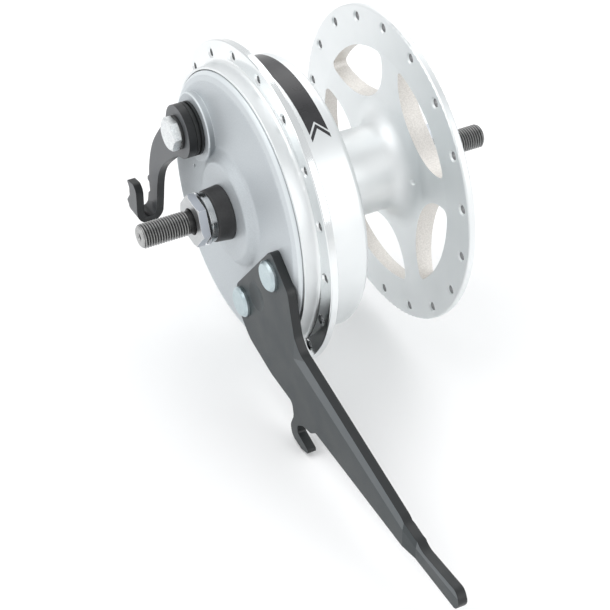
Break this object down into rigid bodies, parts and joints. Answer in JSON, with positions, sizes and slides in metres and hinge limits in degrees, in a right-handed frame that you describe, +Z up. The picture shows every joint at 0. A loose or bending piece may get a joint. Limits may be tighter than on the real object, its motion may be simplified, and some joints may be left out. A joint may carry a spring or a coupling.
{
  "type": "bicycle drum brake hub",
  "caption": "Front wheel hub with a drum brake: flanged shell on ball bearings, round brake plate with cam lever, and a long anchor arm.",
  "frame": {"origin": "on the axle, half-way between the outer faces of the two locknuts", "axes": "+Y along the axle away from the brake side, +Z up, +X the way that the anchor arm points"},
  "size_m": [0.221, 0.14, 0.1264],
  "materials": {
    "axle_steel": "dark rolled thread",
    "zinc_steel": "bright zinc",
    "black_steel": "satin black",
    "machine_steel": "machined",
    "bearing_steel": "ground and polished",
    "plate_aluminium": "satin silver",
    "shell_aluminium": "polished",
    "shoe_aluminium": "as cast",
    "bronze": "plain",
    "seal_rubber": "matte",
    "cap_plastic": "matte",
    "braking_iron": "bored",
    "lining": "ground friction material",
    "spring_steel": "bright wire"
  },
  "bodies": {
    "fixed_parts": {"axle": "axle_steel", "locknut_left": "zinc_steel", "lock_washer_left": "zinc_steel", "ring_washer_left": "zinc_steel", "spacer_collar_left": "black_steel", "spacer_sleeve_left": "machine_steel", "spacer_sleeve_middle": "machine_steel", "spacer_right": "zinc_steel", "lock_washer_right": "zinc_steel", "locknut_right": "zinc_steel", "bearing_inner_ring_left": "bearing_steel", "bearing_inner_ring_right": "bearing_steel", "brake_plate": "plate_aluminium", "cam_bush": "bronze", "cam_dust_seal": "seal_rubber", "fulcrum_pin": "machine_steel", "anchor_arm": "black_steel", "arm_rivet_upper": "zinc_steel", "arm_rivet_lower": "zinc_steel"},
    "turning_shell": {"hub_shell": "shell_aluminium", "drum_liner": "braking_iron", "bearing_outer_ring_left": "bearing_steel", "bearing_outer_ring_right": "bearing_steel", "grease_seal_left": "seal_rubber", "bearing_circlip_right": "black_steel", "dust_cap_right": "cap_plastic"},
    "left_balls": {"bearing_balls_left": "bearing_steel", "bearing_cage_left": "bearing_steel"},
    "right_balls": {"bearing_balls_right": "bearing_steel", "bearing_cage_right": "bearing_steel"},
    "cam": {"cam_spindle": "machine_steel", "cam_lever": "black_steel", "lever_washer": "black_steel", "lever_bolt": "zinc_steel"},
    "upper_shoe": {"brake_shoe_upper": "shoe_aluminium", "shoe_lining_upper": "lining", "return_spring_cam_end": "spring_steel", "return_spring_pin_end": "spring_steel"},
    "lower_shoe": {"brake_shoe_lower": "shoe_aluminium", "shoe_lining_lower": "lining"}
  },
  "joints": [
    {"name": "shell_spin", "type": "hinge", "parent": "fixed_parts", "child": "turning_shell", "pos_m": [0, 0, 0], "axis": [0, 1, 0], "continuous": true},
    {"name": "left_balls_roll", "type": "hinge", "parent": "fixed_parts", "child": "left_balls", "pos_m": [0, 0, 0], "axis": [0, 1, 0], "continuous": true},
    {"name": "right_balls_roll", "type": "hinge", "parent": "fixed_parts", "child": "right_balls", "pos_m": [0, 0, 0], "axis": [0, 1, 0], "continuous": true},
    {"name": "cam_turn", "type": "hinge", "parent": "fixed_parts", "child": "cam", "pos_m": [-0.02513, 0, 0.02108], "axis": [0, -1, 0], "range_deg": [0, 25], "stiffness_Nm_per_rad": 1, "springref_deg": -5.73},
    {"name": "upper_shoe_swing", "type": "hinge", "parent": "fixed_parts", "child": "upper_shoe", "pos_m": [0.02513, 0, -0.02108], "axis": [0, 1, 0], "range_deg": [0, 0.62], "deforming": ["return_spring_cam_end", "return_spring_pin_end"]},
    {"name": "lower_shoe_swing", "type": "hinge", "parent": "fixed_parts", "child": "lower_shoe", "pos_m": [0.02513, 0, -0.02108], "axis": [0, -1, 0], "range_deg": [0, 0.62]}
  ],
  "couplings": [
    {"joint": "left_balls_roll", "follows": "shell_spin", "ratio": 0.619},
    {"joint": "right_balls_roll", "follows": "shell_spin", "ratio": 0.619},
    {"joint": "upper_shoe_swing", "follows": "cam_turn", "ratio": 0.024},
    {"joint": "lower_shoe_swing", "follows": "cam_turn", "ratio": 0.024}
  ]
}
